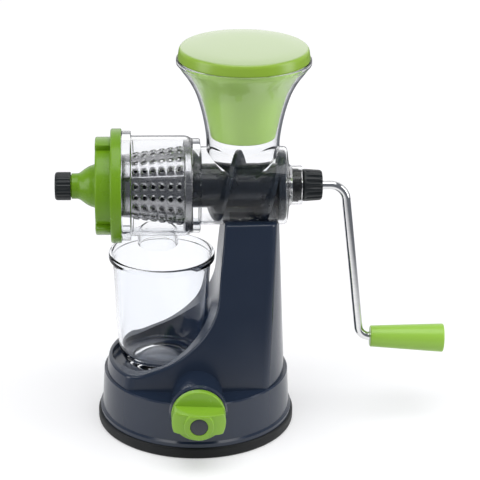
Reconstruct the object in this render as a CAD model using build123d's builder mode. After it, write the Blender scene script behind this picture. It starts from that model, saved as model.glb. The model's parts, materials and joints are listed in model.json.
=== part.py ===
# Hand cranked juicer: suction base, clear juicing chamber, strainer, auger and crank.
# Millimetres.  Origin at the centre of the resting face of the base, +X along the
# barrel towards the crank, -Y towards the user, +Z up.
import math
import os

from build123d import *

os.makedirs("parts", exist_ok=True)

# ---- fits ----
RUN = 0.05        # radial clearance of a running shaft
GAP = 0.3         # air between curved faces of neighbouring pieces
SEAT = 0.05       # radial clearance of a fixed insert in its seat

# ---- base ----
PAD_R, PAD_H, PAD_SKIN = 78.0, 9.0, 1.4
FLANGE_R, FOOT_R, FOOT_Z = 76.4, 74.6, 13.2
SKIRT_R, SKIRT_Z, WALL = 72.4, 44.0, 3.0
BODY_R, BODY_Y, BODY_BOW, COL_Y = 71.2, 46.0, 5.0, 28.0
COL_X, COL_TOP, CORNER_L, CORNER_R, RIM = 64.0, 175.0, 12.0, 8.0, 2.4
JAR_X, RECESS_R, RECESS_Z, FLOOR_Z = -27.0, 39.7, 49.0, 46.2
PLATE_R, PLATE_Z0, PLATE_Z1 = 69.1, 10.0, 13.0
POST_R, POST_AT = 5.0, 64.2
SCREW_R, HEAD_R = 1.5, 3.4

# ---- vacuum lock ----
KNOB_Z, BOSS_R, BOSS_Y, BOSS_IN, DRAFT = 41.6, 22.4, -82.0, -43.0, 3.0
CAM_R, CAM_END = 4.0, -4.5
KNOB_R, KNOB_BACK, DISC_Y, BAR_Y, HUB_Y = 20.8, -82.4, -87.5, -104.0, -105.5
BAR_H, BAR_TILT, HUB_R, BUTTON_R = 8.6, 2.5, 11.6, 6.8
LIFT, TRACK_R, PIN_R, TRACK_GAP = 5.7, 12.0, 2.0, 0.25
STEM_R, STEM_PLATE_R = 4.0, 16.0

# ---- barrel line ----
ZA = 196.8
BAR_R, BORE_R = 38.7, 36.0          # juice barrel around the strainer
THROAT_R, THROAT_BORE = 30.2, 28.2  # barrel around the auger
FLANGE_X0, FLANGE_X1, CLEAR_FLANGE_R = -57.5, -50.6, 42.4
COLLAR_X, COLLAR_R, LUG_R = -62.8, 38.6, 41.2
STEP_X, STEP_END = -4.2, 2.7
REAR_X, BOSS_X, REAR_R = 68.5, 81.4, 15.0
SHAFT_R, BUSH_R = 6.0, 13.0
CONE_X0, CONE_X1, CONE_R0, CONE_R1, SHEET = -60.0, -9.7, 23.7, 30.2, 0.8
AUGER_R, CORE_R, PITCH, FLIGHT, CREST_X = 27.8, 17.0, 35.5, 3.4, 30.8
FLIGHT_X0, DISC_X, DISC_END = -50.0, 62.4, 67.7
COVER_R, COVER_X0, COVER_X1, DRUM_R, WING_R, DRUM_X = 44.2, -66.0, -57.7, 33.2, 37.9, -77.8
NECK_R, NECK_X, THREAD_R, NOZZLE_X, OUTLET_R = 9.9, -96.2, 8.6, -106.4, 6.5
CAP_R, CAP_X0, CAP_X1 = 10.9, -109.0, -96.9

# ---- hopper, spout, jar, pusher ----
HOP_X, SPOUT_X, SPOUT_R, SPOUT_BORE, SPOUT_Z = 35.5, -30.0, 15.7, 13.7, 148.5
JAR_R, JAR_TOP, JAR_WALL = 41.4, 142.0, 2.2
FOOT_X0, FOOT_X1, FOOT_Y, FOOT_BOT = 26.0, 56.0, 12.0, 157.0

# ---- crank ----
HUB_X0, HUB_X1, CRANK_HUB_R = 81.9, 97.2, 12.5
ROD_R, SHAFT_X0, SHAFT_END, ROD_START, BEND_1, BEND_2 = 3.4, 30.0, 88.0, 89.5, 13.0, 9.5
V1, V2, DROOP = (114.9, ZA), (130.35, 68.0), 2.04
GRIP_S0, GRIP_LEN, GRIP_RA, GRIP_RB = 8.6, 58.6, 8.4, 11.4

BARREL = Axis((0, 0, ZA), (1, 0, 0))
KNOB_AXIS = Axis((0, 0, KNOB_Z), (0, 1, 0))


def save(piece, name):
    """Label one finished piece and write it."""
    piece.part.label = name
    export_step(piece.part, f"parts/{name}.step")


def turn_x(points, mode=Mode.ADD, arc=360.0):
    """Turn an (x, radius) outline about the barrel line."""
    with BuildSketch(Plane.XZ) as face:
        with BuildLine():
            Polyline(*[(x, ZA + r) for x, r in points], close=True)
        make_face()
    revolve(face.sketch, axis=BARREL, revolution_arc=arc, mode=mode)


def turn_z(x0, points, mode=Mode.ADD):
    """Turn a (radius, z) outline about an upright line at x0."""
    with BuildSketch(Plane.XZ) as face:
        with BuildLine():
            Polyline(*[(x0 + r, z) for r, z in points], close=True)
        make_face()
    revolve(face.sketch, axis=Axis((x0, 0, 0), (0, 0, 1)), mode=mode)


def turn_y(points, mode=Mode.ADD):
    """Turn a (radius, y) outline about the lock knob's line."""
    with BuildSketch(Plane.XY.offset(KNOB_Z)) as face:
        with BuildLine():
            Polyline(*[(r, y) for r, y in points], close=True)
        make_face()
    revolve(face.sketch, axis=KNOB_AXIS, mode=mode)


def rod(start, end, radius, mode=Mode.ADD):
    """A round bar between two points."""
    a, b = Vector(*start), Vector(*end)
    with BuildSketch(Plane(origin=a, z_dir=b - a)) as face:
        Circle(radius)
    extrude(face.sketch, amount=(b - a).length, mode=mode)


def sector(x0, x1, r0, r1, mid, wide, mode=Mode.ADD):
    """A block of a ring about the barrel line: mid and wide in degrees from -Y to +Z."""
    n = 8
    turns = [math.radians(mid - wide / 2 + wide * i / n) for i in range(n + 1)]
    inner = [(-r0 * math.cos(t), ZA + r0 * math.sin(t)) for t in turns]
    outer = [(-r1 * math.cos(t), ZA + r1 * math.sin(t)) for t in reversed(turns)]
    with BuildSketch(Plane(origin=(x0, 0, 0), x_dir=(0, 1, 0), z_dir=(1, 0, 0))) as face:
        with BuildLine():
            Polyline(*inner, *outer, close=True)
        make_face()
    extrude(face.sketch, amount=x1 - x0, mode=mode)


def screw(top, axis, head_r, head_h, shank_r, length):
    """A cross-head screw: top is the seat under the head, axis points along the shank."""
    seat, way = Vector(*top), Vector(*axis).normalized()
    rod(tuple(seat - way * head_h), tuple(seat), head_r)
    rod(tuple(seat), tuple(seat + way * length), shank_r)
    side = Plane(origin=seat - way * head_h, z_dir=way)
    with BuildSketch(side) as slot:
        Rectangle(head_r * 1.1, head_r * 0.28)
        Rectangle(head_r * 0.28, head_r * 1.1)
    extrude(slot.sketch, amount=head_h * 0.5, mode=Mode.SUBTRACT)


# ============================== base ==============================
def body_outline(z, left, right, corner_l, corner_r, half, bow):
    """One level section of the boot: two bowed sides and two round ends."""
    with BuildSketch(Plane.XY.offset(z)) as face:
        with BuildLine():
            ThreePointArc((corner_l, -half), ((corner_l + corner_r) / 2, -half - bow), (corner_r, -half))
            ThreePointArc((corner_r, -half), (right, 0), (corner_r, half))
            ThreePointArc((corner_r, half), ((corner_l + corner_r) / 2, half + bow), (corner_l, half))
            ThreePointArc((corner_l, half), (left, 0), (corner_l, -half))
        make_face()
    return face.sketch


def saddle_curve(mode):
    """Everything above the boot's swept front edge, cut straight through."""
    with BuildSketch(Plane.XZ) as face:
        with BuildLine():
            Line((-95, 200), (-95, 55))
            Line((-95, 55), (-50, 55))
            Spline((-50, 55), (-36.2, 58.6), (-24.5, 63.3), (-7.7, 74.6), (4, 86.2), (11.4, 98),
                   (15, 108), (17.4, 130), (19.6, 155), (21.2, 176), tangents=((1, 0), (0.08, 1)))
            Line((21.2, 176), (21.2, 200))
            Line((21.2, 200), (-95, 200))
        make_face()
    extrude(face.sketch, amount=100, both=True, mode=mode)


def on_rim(edge):
    """True for an edge round the saddle cut or round the top of the column."""
    return edge.bounding_box().min.Z > SKIRT_Z + 8


posts = [(POST_AT * math.cos(math.radians(a)), POST_AT * math.sin(math.radians(a)))
         for a in (35, 145, 215, 325)]

with BuildPart() as base_housing:
    corner = math.sqrt(BODY_R ** 2 - BODY_Y ** 2)
    low = body_outline(SKIRT_Z - 1, -BODY_R, BODY_R - 1.0, -corner, corner, BODY_Y, BODY_BOW)
    top = body_outline(COL_TOP, -47, COL_X, -33, COL_X - 4, COL_Y, 1.5)
    loft([low, top], ruled=True)
    upright = base_housing.edges().filter_by(lambda e: e.bounding_box().size.Z > 100)
    fillet(upright.filter_by(lambda e: e.center().X > 0), radius=CORNER_R)
    upright = base_housing.edges().filter_by(lambda e: e.bounding_box().size.Z > 100)
    fillet(upright.filter_by(lambda e: e.center().X < -40), radius=CORNER_L)
    saddle_curve(Mode.SUBTRACT)
    fillet(base_housing.edges().filter_by(on_rim), radius=RIM)
    turn_z(0, [(0, PAD_H), (FLANGE_R, PAD_H), (FLANGE_R, 12.0), (FOOT_R, FOOT_Z),
               (SKIRT_R + 0.6, SKIRT_Z - 1.0), (SKIRT_R - 0.4, SKIRT_Z), (0, SKIRT_Z)])
    turn_y([(0, BOSS_IN), (0, BOSS_Y), (BOSS_R - 3, BOSS_Y), (BOSS_R - 1, BOSS_Y + 0.8),
            (BOSS_R, BOSS_Y + 3), (BOSS_R - DRAFT, BOSS_IN)])
    # jar seat
    turn_z(JAR_X, [(0, RECESS_Z), (RECESS_R - 1.5, RECESS_Z), (RECESS_R, RECESS_Z + 1.5),
                   (RECESS_R, 200), (0, 200)], Mode.SUBTRACT)
    # hollow inside of the skirt, the boot and the column
    turn_z(0, [(0, PAD_H), (SKIRT_R - WALL, PAD_H), (SKIRT_R - WALL - 1, 30), (66, SKIRT_Z - WALL),
               (0, SKIRT_Z - WALL)], Mode.SUBTRACT)
    low = body_outline(38, -BODY_R + 6, BODY_R - 6, -corner + 3, corner - 3, BODY_Y - 4.5, BODY_BOW - 1)
    cap = body_outline(FLOOR_Z, -BODY_R + 7, BODY_R - 6.2, -corner + 3, corner - 3, BODY_Y - 5, BODY_BOW - 1)
    loft([low, cap], ruled=True, mode=Mode.SUBTRACT)
    low = body_outline(FLOOR_Z - 2, 22, BODY_R - 6, 26, 50, BODY_Y - 6, 0.8)
    cap = body_outline(151.5, 27.5, COL_X - 3.5, 30, 50, COL_Y + 0.5, 0.8)
    loft([low, cap], ruled=True, mode=Mode.SUBTRACT)
    turn_y([(0, BOSS_IN), (0, BOSS_Y), (BOSS_R - 4, BOSS_Y), (BOSS_R - 1, BOSS_Y + 3),
            (BOSS_R - DRAFT - 1, BOSS_IN)])
    for x, y in posts:
        with BuildSketch(Plane.XY.offset(PLATE_Z1)) as face:
            with Locations((x, y)):
                Circle(POST_R)
        extrude(face.sketch, amount=SKIRT_Z - WALL - 2 - PLATE_Z1)
        rod((x, y, PLATE_Z1), (x, y, PLATE_Z1 + 12), SCREW_R + SEAT, Mode.SUBTRACT)
    # bearing of the lock shaft
    rod((0, BOSS_Y - 1, KNOB_Z), (0, BOSS_IN + 1, KNOB_Z), CAM_R + RUN, Mode.SUBTRACT)
    # cradle and socket for the chamber
    turn_x([(0, 0), (0, THROAT_R + GAP), (90, THROAT_R + GAP), (90, 0)], Mode.SUBTRACT)
    with BuildSketch(Plane.XY.offset(FOOT_BOT)) as face:
        with Locations(((FOOT_X0 + FOOT_X1) / 2, 0)):
            Rectangle(FOOT_X1 - FOOT_X0 + 0.2, 2 * FOOT_Y + 0.2)
    extrude(face.sketch, amount=30, mode=Mode.SUBTRACT)
    for x in (34, 48):
        rod((x, 0, 140), (x, 0, 170), SCREW_R + 0.3, Mode.SUBTRACT)
save(base_housing, "base_housing")

with BuildPart() as base_plate:
    turn_z(0, [(STEM_R + RUN, PLATE_Z0), (PLATE_R, PLATE_Z0), (PLATE_R, PLATE_Z1), (8.5, PLATE_Z1),
               (8.5, 19), (STEM_R + RUN, 19)])
    for x, y in posts:
        rod((x, y, PLATE_Z0 - 1), (x, y, PLATE_Z1 + 1), SCREW_R + 0.2, Mode.SUBTRACT)
    for a in range(0, 360, 60):
        c, s = math.cos(math.radians(a)), math.sin(math.radians(a))
        with BuildSketch(Plane(origin=(9 * c, 9 * s, PLATE_Z1 - 0.5), x_dir=(c, s, 0), z_dir=(0, 0, 1))) as rib:
            with Locations((16, 0)):
                Rectangle(37, 2)
        extrude(rib.sketch, amount=4.5)
save(base_plate, "base_plate")

with BuildPart() as base_screws:
    for x, y in posts:
        screw((x, y, PLATE_Z0), (0, 0, 1), HEAD_R, 1.8, SCREW_R, 13)
save(base_screws, "base_screws")

with BuildPart() as suction_pad:
    turn_z(0, [(0, 0), (PAD_R - 1, 0), (PAD_R, 1), (PAD_R, PAD_H - 1.4), (PAD_R - 0.8, PAD_H),
               (PLATE_R - 1, PAD_H), (PLATE_R - 1, 6), (PLATE_R - 5, PAD_SKIN + 1),
               (STEM_PLATE_R + 3, PAD_SKIN), (0, PAD_SKIN)])
save(suction_pad, "suction_pad")

# ============================ vacuum lock ============================
with BuildPart() as pad_stem:
    turn_z(0, [(0, PAD_SKIN), (STEM_PLATE_R, PAD_SKIN), (STEM_PLATE_R, PAD_SKIN + 1.4),
               (STEM_R + 2, PAD_SKIN + 2.6), (STEM_R, PAD_SKIN + 2.6), (STEM_R, 26), (0, 26)])
    with BuildSketch(Plane.XY.offset(22)) as face:
        with Locations((0, 0.5)):
            Rectangle(9, 7)
    extrude(face.sketch, amount=KNOB_Z - TRACK_R + PIN_R + 1.6 - 22)
    rod((0, -2.5, KNOB_Z - TRACK_R), (0, CAM_END - 2.8, KNOB_Z - TRACK_R), PIN_R)
save(pad_stem, "pad_stem")


def track(width):
    """Outline of the spiral track of the lock cam in the (x, z) plane, at rest, and its inner side."""
    outer, inner = [], []
    for i in range(17):
        t = math.radians(-90 + 90 * i / 16)
        r = TRACK_R - LIFT * i / 16
        slant = width * math.hypot(1, LIFT / (math.pi / 2) / r)   # the track runs inwards as it turns
        outer.append(((r + slant) * math.cos(t), KNOB_Z + (r + slant) * math.sin(t)))
        inner.append(((r - slant) * math.cos(t), KNOB_Z + (r - slant) * math.sin(t)))
    return outer + inner[::-1], inner


with BuildPart() as lock_cam:
    rod((0, -94, KNOB_Z), (0, CAM_END, KNOB_Z), CAM_R)
    reach = PIN_R + 1.6
    outline, inner = track(reach)
    with BuildSketch(Plane.XZ.offset(-CAM_END)) as plate:
        with BuildLine():
            Polyline(*outline, close=True)
        make_face()
        with Locations((0, KNOB_Z - TRACK_R), (TRACK_R - LIFT, KNOB_Z)):
            Circle(reach)
        with BuildLine():
            Polyline((0, KNOB_Z), (0, KNOB_Z - TRACK_R), *[p for p in inner[1:-1]],
                     (TRACK_R - LIFT, KNOB_Z), close=True)
        make_face()
    extrude(plate.sketch, amount=5.5)
    outline, inner = track(PIN_R + TRACK_GAP)
    with BuildSketch(Plane.XZ.offset(-CAM_END)) as groove:
        with BuildLine():
            Polyline(*outline, close=True)
        make_face()
        with Locations((0, KNOB_Z - TRACK_R), (TRACK_R - LIFT, KNOB_Z)):
            Circle(PIN_R + TRACK_GAP)
    extrude(groove.sketch, amount=3.4, mode=Mode.SUBTRACT)
    rod((0, -94, KNOB_Z), (0, -84, KNOB_Z), SCREW_R + SEAT, Mode.SUBTRACT)
save(lock_cam, "lock_cam")

with BuildPart() as lock_knob:
    turn_y([(0, DISC_Y + 1), (HUB_R + 0.6, DISC_Y + 1), (HUB_R, HUB_Y + 1), (HUB_R - 1, HUB_Y), (0, HUB_Y)])
    lean = math.radians(BAR_TILT)
    level = Plane(origin=(0, 0, KNOB_Z), x_dir=(math.cos(lean), 0, -math.sin(lean)),
                  z_dir=(math.sin(lean), 0, math.cos(lean)))
    with BuildSketch(level.offset(BAR_H)) as above:
        with Locations((0, (DISC_Y + HUB_Y) / 2 - 5)):
            Rectangle(3 * HUB_R, DISC_Y - HUB_Y + 10)
    extrude(above.sketch, amount=HUB_R, mode=Mode.SUBTRACT)
    turn_y([(0, KNOB_BACK), (KNOB_R - 0.6, KNOB_BACK), (KNOB_R, KNOB_BACK - 0.6),
            (KNOB_R, DISC_Y + 0.8), (KNOB_R - 0.8, DISC_Y), (0, DISC_Y)])
    with BuildSketch(level.offset(-BAR_H)) as bar:
        with BuildLine():
            Line((-KNOB_R + 0.5, DISC_Y + 2), (-KNOB_R + 0.5, BAR_Y + 7.5))
            ThreePointArc((-KNOB_R + 0.5, BAR_Y + 7.5), (0, BAR_Y), (KNOB_R - 0.5, BAR_Y + 7.5))
            Line((KNOB_R - 0.5, BAR_Y + 7.5), (KNOB_R - 0.5, DISC_Y + 2))
            Line((KNOB_R - 0.5, DISC_Y + 2), (-KNOB_R + 0.5, DISC_Y + 2))
        make_face()
    extrude(bar.sketch, amount=2 * BAR_H)
    turn_y([(KNOB_R, KNOB_BACK + 1), (KNOB_R + 8, KNOB_BACK + 1), (KNOB_R + 8, HUB_Y - 1),
            (KNOB_R, HUB_Y - 1)], Mode.SUBTRACT)
    turn_y([(0, KNOB_BACK + 1), (CAM_R + SEAT, KNOB_BACK + 1), (CAM_R + SEAT, -94), (SCREW_R + 0.2, -94),
            (SCREW_R + 0.2, -97), (4.6, -97), (4.6, -102.5), (BUTTON_R, -102.5), (BUTTON_R, HUB_Y - 1),
            (0, HUB_Y - 1)], Mode.SUBTRACT)
save(lock_knob, "lock_knob")

with BuildPart() as knob_screw:
    screw((0, -97, KNOB_Z), (0, 1, 0), 3.8, 2.4, SCREW_R, 12)
save(knob_screw, "knob_screw")

with BuildPart() as knob_button:
    turn_y([(0, -102.5), (BUTTON_R - SEAT, -102.5), (BUTTON_R - SEAT, HUB_Y + 0.3), (BUTTON_R - 0.8, HUB_Y - 0.1),
            (0, HUB_Y - 0.4)])
save(knob_button, "knob_button")

# ============================== chamber ==============================
FUNNEL = [(26.0, 218), (26.1, 236), (28.2, 250), (31.0, 262), (34.9, 274), (40.4, 284), (45.6, 291), (49.0, 295.9)]

with BuildPart() as juicing_chamber:
    turn_x([(COLLAR_X, 0), (COLLAR_X, COLLAR_R), (FLANGE_X0, COLLAR_R), (FLANGE_X0, CLEAR_FLANGE_R - 0.8),
            (FLANGE_X0 + 0.8, CLEAR_FLANGE_R), (FLANGE_X1 - 0.8, CLEAR_FLANGE_R),
            (FLANGE_X1, CLEAR_FLANGE_R - 0.8), (FLANGE_X1, BAR_R),
            (-9, BAR_R), (-6, BAR_R - 0.7), (-4, BAR_R - 2.3), (STEP_END - 1, BAR_R - 2.3),
            (STEP_END, BAR_R - 3.3), (STEP_END, THROAT_R), (REAR_X - 1, THROAT_R), (REAR_X + 1, THROAT_R - 2),
            (71, REAR_R + 3), (72.4, REAR_R), (BOSS_X, REAR_R), (BOSS_X, 0)])
    for a in (90, 210, 330):
        sector(COLLAR_X, COLLAR_X + 2.2, COLLAR_R - 1, LUG_R, a, 30)
    # hopper and spout
    turn_z(HOP_X, [(0, 200)] + [(28.0, 200), (28.0, 236), (30.2, 250), (33.0, 262), (37.0, 274), (42.6, 284),
                                (47.8, 291), (50.4, 295.3), (51.4, 296), (51.4, 298.6), (50.8, 299.2), (0, 299.2)])
    turn_z(SPOUT_X, [(0, 170), (SPOUT_R, 170), (SPOUT_R, SPOUT_Z), (0, SPOUT_Z)])
    # foot into the column
    with BuildSketch(Plane.XY.offset(FOOT_BOT)) as face:
        with Locations(((FOOT_X0 + FOOT_X1) / 2, 0)):
            Rectangle(FOOT_X1 - FOOT_X0, 2 * FOOT_Y)
    extrude(face.sketch, amount=15)
    # bores
    turn_x([(COLLAR_X - 1, 0), (COLLAR_X - 1, BORE_R), (STEP_X, BORE_R), (STEP_X, THROAT_BORE),
            (REAR_X, THROAT_BORE), (REAR_X, SHAFT_R + 0.4), (73.4, SHAFT_R + 0.4), (73.4, BUSH_R),
            (BOSS_X + 1, BUSH_R), (BOSS_X + 1, 0)], Mode.SUBTRACT)
    turn_z(HOP_X, [(0, ZA), (24.6, ZA), (24.6, 218)] + FUNNEL + [(49.0, 302), (0, 302)], Mode.SUBTRACT)
    turn_z(SPOUT_X, [(0, ZA - 20), (SPOUT_BORE, ZA - 20), (SPOUT_BORE, SPOUT_Z - 1), (0, SPOUT_Z - 1)],
           Mode.SUBTRACT)
    for x in (34, 48):
        rod((x, 0, FOOT_BOT - 1), (x, 0, FOOT_BOT + 9), SCREW_R + SEAT, Mode.SUBTRACT)
save(juicing_chamber, "juicing_chamber")

with BuildPart() as foot_screws:
    for x in (34, 48):
        screw((x, 0, 151.5), (0, 0, 1), HEAD_R, 2.0, SCREW_R, 13.5)
save(foot_screws, "foot_screws")

with BuildPart() as shaft_seal:
    turn_x([(73.4, SHAFT_R + RUN), (73.4, BUSH_R - SEAT), (78.4, BUSH_R - SEAT), (78.4, BUSH_R - 1),
            (80.6, BUSH_R - 1), (80.6, SHAFT_R + RUN)])
save(shaft_seal, "shaft_seal")

# ============================== strainer ==============================
SEAM, ROWS, HOLES, HOLE_R, HOLE_X0, HOLE_STEP = 31.3, 19, 6, 1.5, -47.1, 6.72
TAPER = math.atan2(CONE_R1 - CONE_R0, CONE_X1 - CONE_X0)


def cone_radius(x):
    return CONE_R0 + (x - CONE_X0) * math.tan(TAPER)


holes = []
for row in range(ROWS):
    a = math.radians(SEAM + 13 + row * (360 - 26) / (ROWS - 1))
    out = Vector(0, -math.cos(a), math.sin(a))
    for x in [HOLE_X0 + i * HOLE_STEP for i in range(HOLES)]:
        foot = Vector(x, 0, ZA) + out * (cone_radius(x) - 3)
        holes.append(Plane(origin=foot, x_dir=(1, 0, 0), z_dir=out))

with BuildPart() as strainer:
    turn_x([(CONE_X0, CONE_R0 - SHEET), (CONE_X0, CONE_R0), (CONE_X1, CONE_R1), (CONE_X1, BORE_R - 1),
            (CONE_X1 + 1, BORE_R - 0.2), (STEP_X, BORE_R - 0.2), (STEP_X, CONE_R1 - SHEET),
            (CONE_X1, CONE_R1 - SHEET)])
    with BuildSketch(*holes):
        RegularPolygon(HOLE_R, 8)
    extrude(amount=6, mode=Mode.SUBTRACT)
save(strainer, "strainer")

# ============================== auger ==============================
def ribs(x0, x1, radius, count, wide, deep):
    """Axial grip grooves round a knob on the barrel line."""
    with BuildSketch(Plane(origin=(x0, 0, ZA), x_dir=(0, 1, 0), z_dir=(1, 0, 0))) as face:
        with PolarLocations(radius, count):
            Rectangle(2 * deep, wide)
    extrude(face.sketch, amount=x1 - x0, mode=Mode.SUBTRACT)


with BuildPart() as auger:
    first = CREST_X - 3 * PITCH
    path = Helix(pitch=PITCH, height=DISC_X + 2 - first, radius=15, center=(first, 0, ZA), direction=(1, 0, 0),
                 lefthand=True)
    with BuildSketch(Plane(origin=path @ 0, x_dir=(0, 0, 1), z_dir=(0, 1, 0))) as face:
        with Locations((5, 0)):
            Rectangle(18, FLIGHT)
    sweep(face.sketch, path=path, is_frenet=True)
    turn_x([(FLIGHT_X0, 0), (FLIGHT_X0, AUGER_R), (DISC_X + 1.6, AUGER_R), (DISC_X + 1.6, 0)], Mode.INTERSECT)
    turn_x([(FLIGHT_X0, 0), (FLIGHT_X0, CORE_R), (DISC_X, CORE_R), (DISC_X, 0)])
    turn_x([(DISC_X, 0), (DISC_X, AUGER_R - 0.4), (DISC_END, AUGER_R - 0.4), (DISC_END, 0)])
    turn_x([(FLIGHT_X0, 0), (FLIGHT_X0, CORE_R), (FLIGHT_X0 - 4, CORE_R - 4), (FLIGHT_X0 - 8, CORE_R - 9),
            (FLIGHT_X0 - 11, CORE_R - 11.5), (FLIGHT_X0 - 11, 0)])
    wall = SHEET + 0.5
    turn_x([(FLIGHT_X0 - 28, cone_radius(FLIGHT_X0 - 28) - wall), (STEP_X - 3, cone_radius(STEP_X - 3) - wall),
            (STEP_X - 3, BORE_R), (FLIGHT_X0 - 28, BORE_R)], Mode.SUBTRACT)
    turn_x([(SHAFT_X0, 0), (SHAFT_X0, SHAFT_R + SEAT), (70, SHAFT_R + SEAT), (70, 0)], Mode.SUBTRACT)
save(auger, "auger")

with BuildPart() as auger_shaft:
    turn_x([(SHAFT_X0, 0), (SHAFT_X0, SHAFT_R), (SHAFT_END - 0.6, SHAFT_R), (SHAFT_END, SHAFT_R - 0.6),
            (SHAFT_END, 0)])
save(auger_shaft, "auger_shaft")

# ============================== crank ==============================
with BuildPart() as crank_hub:
    turn_x([(HUB_X0, SHAFT_R + SEAT), (HUB_X0, CRANK_HUB_R - 0.7), (HUB_X0 + 0.7, CRANK_HUB_R),
            (HUB_X1 - 1, CRANK_HUB_R - 0.9), (HUB_X1, CRANK_HUB_R - 1.9), (HUB_X1, ROD_R + SEAT),
            (ROD_START, ROD_R + SEAT), (ROD_START, 0), (SHAFT_END, 0), (SHAFT_END, SHAFT_R + SEAT)])
    ribs(HUB_X0 + 1.6, HUB_X1 + 1, CRANK_HUB_R, 16, 2.6, 1.25)
save(crank_hub, "crank_hub")


def bend(before, at, after, radius):
    """Start, middle and end of a round bend at a corner, in (x, z)."""
    b, p, a = Vector(before[0], 0, before[1]), Vector(at[0], 0, at[1]), Vector(after[0], 0, after[1])
    back, on = (b - p).normalized(), (a - p).normalized()
    half = math.acos(back.dot(on)) / 2
    centre = p + (back + on).normalized() * (radius / math.sin(half))
    reach = radius / math.tan(half)
    return p + back * reach, centre - (back + on).normalized() * radius, p + on * reach


grip_way = (math.cos(math.radians(DROOP)), -math.sin(math.radians(DROOP)))
ROD_TIP = GRIP_S0 + GRIP_LEN - 8.7


def along_grip(s):
    return V2[0] + s * grip_way[0], V2[1] + s * grip_way[1]


with BuildPart() as crank_rod:
    b1 = bend((ROD_START, ZA), V1, V2, BEND_1)
    b2 = bend(V1, V2, along_grip(ROD_TIP), BEND_2)
    tip = along_grip(ROD_TIP)
    with BuildLine() as path:
        Line((ROD_START, 0, ZA), b1[0])
        ThreePointArc(*b1)
        Line(b1[2], b2[0])
        ThreePointArc(*b2)
        Line(b2[2], (tip[0], 0, tip[1]))
    with BuildSketch(Plane(origin=(ROD_START, 0, ZA), z_dir=(1, 0, 0))) as face:
        Circle(ROD_R)
    sweep(face.sketch, path=path.line)
    rod((tip[0], 0, tip[1]), (along_grip(ROD_TIP - 12)[0], 0, along_grip(ROD_TIP - 12)[1]), SCREW_R + SEAT,
        Mode.SUBTRACT)
save(crank_rod, "crank_rod")

GRIP_PLANE = Plane(origin=(V2[0], 0, V2[1]), x_dir=(grip_way[0], 0, grip_way[1]), z_dir=(0, -1, 0))


def turn_grip(points):
    """Turn an (along, radius) outline about the grip's line."""
    with BuildSketch(GRIP_PLANE) as face:
        with BuildLine():
            Polyline(*points, close=True)
        make_face()
    revolve(face.sketch, axis=Axis(GRIP_PLANE.origin, GRIP_PLANE.x_dir))


END = GRIP_S0 + GRIP_LEN
with BuildPart() as grip:
    turn_grip([(GRIP_S0, ROD_R + RUN), (GRIP_S0, GRIP_RA - 0.8), (GRIP_S0 + 0.8, GRIP_RA),
               (END - 0.9, GRIP_RB), (END, GRIP_RB - 0.9), (END, 6.6),
               (END - 2.4, 6.6), (END - 2.4, 5.6), (END - 9, 5.6), (END - 9, ROD_R + RUN)])
save(grip, "grip")

with BuildPart() as grip_plug:
    turn_grip([(END - 2.4, 0), (END - 2.4, 6.6 - SEAT), (END, 6.6 - SEAT), (END + 0.3, 4.5), (END + 0.4, 0)])
save(grip_plug, "grip_plug")

with BuildPart() as grip_screw:
    way = (grip_way[0], 0, grip_way[1])
    screw((tip[0], 0, tip[1]), (-way[0], 0, -way[2]), 4.8, 2.0, SCREW_R, 11)
save(grip_screw, "grip_screw")

# ============================== front cover ==============================
WINGS, LOCKED = (106.7, 286.7), (90, 210, 330)
with BuildPart() as front_cover:
    turn_x([(NOZZLE_X, 0), (NOZZLE_X, THREAD_R), (NECK_X, THREAD_R), (NECK_X, NECK_R), (-90.6, NECK_R),
            (-88.6, 11.0), (-85.9, 13.2), (-82.4, 15.2), (-80, 16.2), (DRUM_X, 16.8), (DRUM_X, DRUM_R - 0.8),
            (DRUM_X + 0.8, DRUM_R), (COVER_X0, DRUM_R), (COVER_X0, COVER_R - 0.8),
            (COVER_X0 + 0.8, COVER_R), (COVER_X1 - 0.8, COVER_R), (COVER_X1, COVER_R - 0.8), (COVER_X1, 0)])
    for a in WINGS:
        sector(DRUM_X, COVER_X0 + 1, DRUM_R - 1, WING_R, a, 63)
    turn_x([(-64, 0), (-64, 41.6), (COVER_X1 + 1, 41.6), (COVER_X1 + 1, 0)], Mode.SUBTRACT)
    turn_x([(-75.8, 26.6), (-75.8, 31.2), (-63, 31.2), (-63, 26.6)], Mode.SUBTRACT)
    turn_x([(-75.9, 22.6), (-75.9, 26.6), (-58.2, 26.6), (-58.2, 24.05), (-66, 24.05), (-66, 22.6)])
    turn_x([(-63, 0), (-63, 24.05), (-66, 24.05), (-66, 22.6), (-76, 14.2), (-82, 12.2), (-88, 8), (-91, OUTLET_R),
            (NOZZLE_X - 1, OUTLET_R), (NOZZLE_X - 1, 0)], Mode.SUBTRACT)
    for a in LOCKED:
        sector(-60.4, -58.0, 39.2, 42, a, 30)
save(front_cover, "front_cover")

with BuildPart() as cover_seal:
    turn_x([(-64, 36.4), (-64, 38.4), (COLLAR_X, 38.4), (COLLAR_X, 36.4)])
save(cover_seal, "cover_seal")

with BuildPart() as pulp_cap:
    turn_x([(CAP_X0, 0), (CAP_X0, CAP_R - 1.6), (CAP_X0 + 0.5, CAP_R - 0.6), (CAP_X0 + 1.6, CAP_R),
            (CAP_X1, CAP_R), (CAP_X1, THREAD_R + 0.15), (CAP_X0 + 1.2, THREAD_R + 0.15), (CAP_X0 + 1.2, 0)])
    ribs(CAP_X0 + 1.8, CAP_X1 + 1, CAP_R, 20, 1.8, 0.55)
save(pulp_cap, "pulp_cap")

with BuildPart() as cap_liner:
    turn_x([(CAP_X0 + 1.2, 0), (CAP_X0 + 1.2, THREAD_R - 0.2), (NOZZLE_X, THREAD_R - 0.2), (NOZZLE_X, 0)])
save(cap_liner, "cap_liner")

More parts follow.
